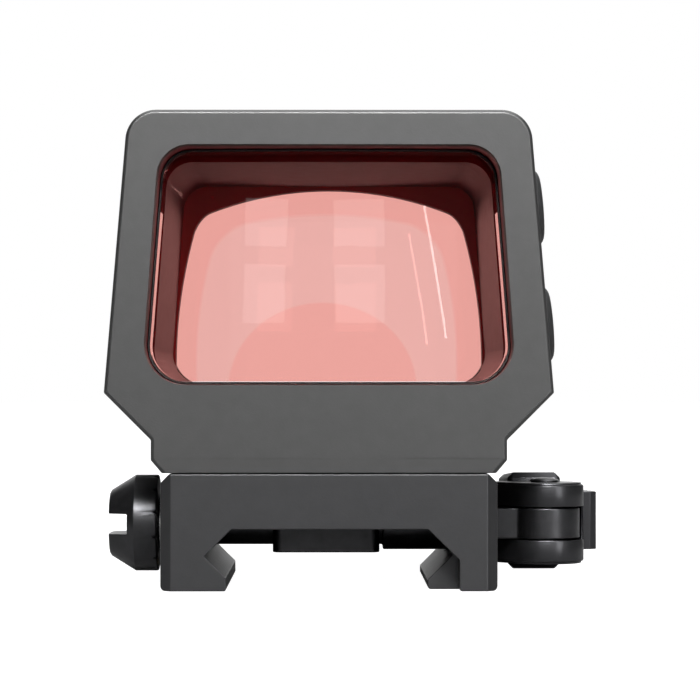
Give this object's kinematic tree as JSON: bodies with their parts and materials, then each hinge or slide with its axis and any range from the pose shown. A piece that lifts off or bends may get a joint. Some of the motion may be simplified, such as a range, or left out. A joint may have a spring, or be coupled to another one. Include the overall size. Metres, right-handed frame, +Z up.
{
  "type": "enclosed red dot sight",
  "caption": "Enclosed red dot sight with a domed front glass, side buttons, windage and elevation dials, and a quick-release rail clamp with a cam lever.",
  "frame": {"origin": "on the clamp's seat that rests on the rail's top, on the centre plane, halfway along the body", "axes": "+X towards the cam lever's side, +Y from the front glass to the shooter along the rail, +Z up"},
  "size_m": [0.043, 0.052, 0.0402],
  "materials": {
    "housing": "dark grey hard anodised, satin",
    "clamp": "dark grey hard anodised, satin",
    "steel": "blackened steel",
    "spring_steel": "bright spring wire",
    "rubber": "matt black",
    "coated_glass": "red reflecting coating",
    "clear_glass": "clear, coated",
    "board": "green circuit board",
    "polymer": "glass-filled black polymer",
    "cell": "plated coin cell",
    "brass": "plated brass",
    "emitter": "clear red emitter dome"
  },
  "bodies": {
    "sight": {"housing": "housing", "rear_bezel": "housing", "bottom_cover": "housing", "front_lens": "coated_glass", "front_gasket": "rubber", "rear_window": "clear_glass", "rear_gasket": "rubber", "bezel_screw_1": "steel", "bezel_screw_2": "steel", "bezel_screw_3": "steel", "bezel_screw_4": "steel", "cover_screw_1": "steel", "cover_screw_2": "steel", "circuit_board": "board", "emitter_spring": "spring_steel", "windage_seal": "rubber", "elevation_seal": "rubber", "switch_plus": "spring_steel", "switch_minus": "spring_steel", "battery_contact": "brass", "mount_base": "clamp", "mount_screw_1": "steel", "mount_screw_2": "steel", "mount_screw_3": "steel", "mount_screw_4": "steel", "recoil_lug": "steel", "jaw_spring_1": "spring_steel", "jaw_spring_2": "spring_steel", "nut_washer": "spring_steel", "nut_detent": "brass"},
    "windage_knob": {"windage_dial": "housing"},
    "elevation_knob": {"elevation_dial": "housing"},
    "shoe": {"emitter_shoe": "polymer"},
    "emitter": {"emitter_holder": "polymer", "emitter_led": "emitter"},
    "plus_key": {"button_plus": "rubber"},
    "minus_key": {"button_minus": "rubber"},
    "drawer": {"battery_drawer": "polymer", "battery": "cell", "drawer_seal": "rubber"},
    "drawer_fastener": {"drawer_screw": "steel"},
    "jaw": {"movable_jaw": "clamp"},
    "bolt": {"cross_bolt": "steel"},
    "nut": {"tension_nut": "steel"},
    "lever": {"cam_lever": "clamp", "lever_pin": "steel", "lock_spring": "spring_steel"},
    "lock": {"lever_lock": "clamp"}
  },
  "joints": [
    {"name": "windage_turn", "type": "hinge", "parent": "sight", "child": "windage_knob", "pos_m": [-0.01495, 0.014, 0.0083], "axis": [-1, 0, 0], "range_deg": [-270, 270]},
    {"name": "windage_slide", "type": "slide", "parent": "sight", "child": "shoe", "axis": [1, 0, 0], "range_m": [-0.0003, 0.0003]},
    {"name": "elevation_turn", "type": "hinge", "parent": "sight", "child": "elevation_knob", "pos_m": [0, 0.0219, 0.01005], "axis": [0, 0, 1], "range_deg": [-270, 270]},
    {"name": "elevation_slide", "type": "slide", "parent": "shoe", "child": "emitter", "axis": [0, 0, 1], "range_m": [-0.0003, 0.0003]},
    {"name": "plus_press", "type": "slide", "parent": "sight", "child": "plus_key", "axis": [-0.9965, 0, -0.0838], "range_m": [0, 0.0005], "stiffness_N_per_m": 800},
    {"name": "minus_press", "type": "slide", "parent": "sight", "child": "minus_key", "axis": [-0.9965, 0, -0.0838], "range_m": [0, 0.0005], "stiffness_N_per_m": 800},
    {"name": "drawer_slide", "type": "slide", "parent": "sight", "child": "drawer", "axis": [1, 0, 0], "range_m": [0, 0.026]},
    {"name": "drawer_screw_turn", "type": "hinge", "parent": "drawer", "child": "drawer_fastener", "pos_m": [0.0155, 0.002, 0.00815], "axis": [1, 0, 0], "range_deg": [0, 1080]},
    {"name": "nut_turn", "type": "hinge", "parent": "sight", "child": "nut", "pos_m": [-0.0165, -0.013, 0], "axis": [-1, 0, 0], "range_deg": [0, 360]},
    {"name": "bolt_slide", "type": "slide", "parent": "sight", "child": "bolt", "axis": [1, 0, 0], "range_m": [0, 0.0007]},
    {"name": "lever_swing", "type": "hinge", "parent": "bolt", "child": "lever", "pos_m": [0.0189, -0.013, 0], "axis": [0, 0, -1], "range_deg": [0, 90]},
    {"name": "jaw_slide", "type": "slide", "parent": "sight", "child": "jaw", "axis": [1, 0, 0], "range_m": [0, 0.00138]},
    {"name": "lock_press", "type": "slide", "parent": "lever", "child": "lock", "axis": [0, 1, 0], "range_m": [0, 0.0012], "stiffness_N_per_m": 300, "deforming": ["lock_spring"]}
  ],
  "couplings": [
    {"joint": "windage_turn", "follows": "windage_slide", "rad_per_m": 15708},
    {"joint": "elevation_turn", "follows": "elevation_slide", "rad_per_m": 15708},
    {"joint": "nut_turn", "follows": "bolt_slide", "rad_per_m": 8975.9},
    {"joint": "lever_swing", "follows": "jaw_slide", "rad_per_m": 1138.2}
  ]
}
